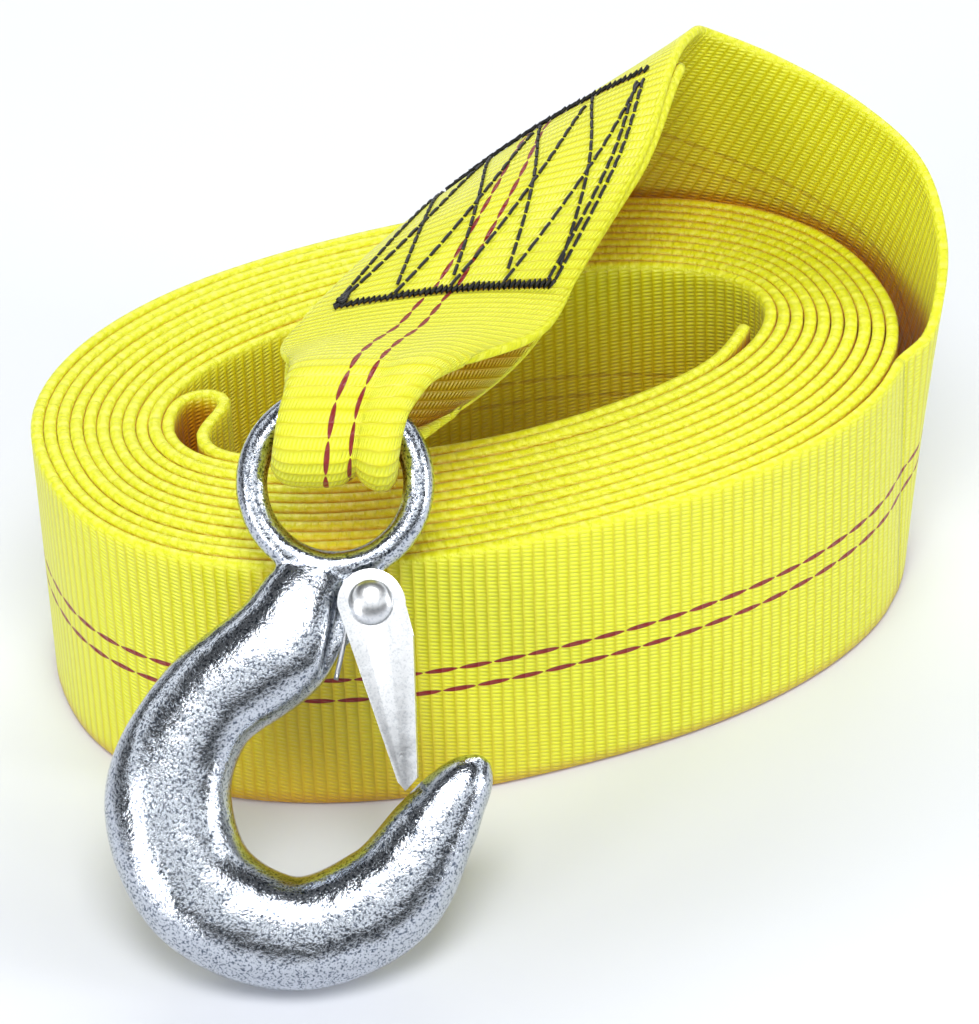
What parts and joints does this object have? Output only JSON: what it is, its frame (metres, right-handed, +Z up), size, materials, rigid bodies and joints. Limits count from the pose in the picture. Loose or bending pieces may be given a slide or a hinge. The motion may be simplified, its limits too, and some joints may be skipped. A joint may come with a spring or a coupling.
{
  "type": "winch_strap",
  "caption": "Winch strap: yellow polyester webbing wound into an oval coil, its sewn end looped through a forged zinc-plated eye hook with a spring latch",
  "frame": {"origin": "on the floor, under the middle of the whole part's box", "axes": "+X along the coil's long side, towards the end where the strap climbs; +Z up; the hook leans on the -Y side"},
  "size_m": [0.171, 0.1428, 0.0862],
  "materials": {
    "webbing": "ribbed woven polyester",
    "zinc": "bright zinc plating on a forging",
    "sheet": "zinc plated pressed sheet",
    "wire": "plain spring wire"
  },
  "bodies": {
    "strap": {"webbing": "webbing"},
    "hook": {"hook_body": "zinc", "latch_rivet": "zinc", "latch_spring": "wire"},
    "latch": {"latch": "sheet"}
  },
  "joints": [
    {"name": "hook_swing", "type": "hinge", "parent": "strap", "child": "hook", "pos_m": [-0.03477, -0.01391, 0.07469], "axis": [-0.937, 0.3481, 0.0299], "range_deg": [0, 15]},
    {"name": "latch_pivot", "type": "hinge", "parent": "hook", "child": "latch", "pos_m": [-0.03708, -0.0349, 0.04917], "axis": [0.2534, 0.7358, -0.628], "range_deg": [0, 30], "stiffness_Nm_per_rad": 0.004, "springref_deg": -20.05, "deforming": ["latch_spring"]}
  ]
}
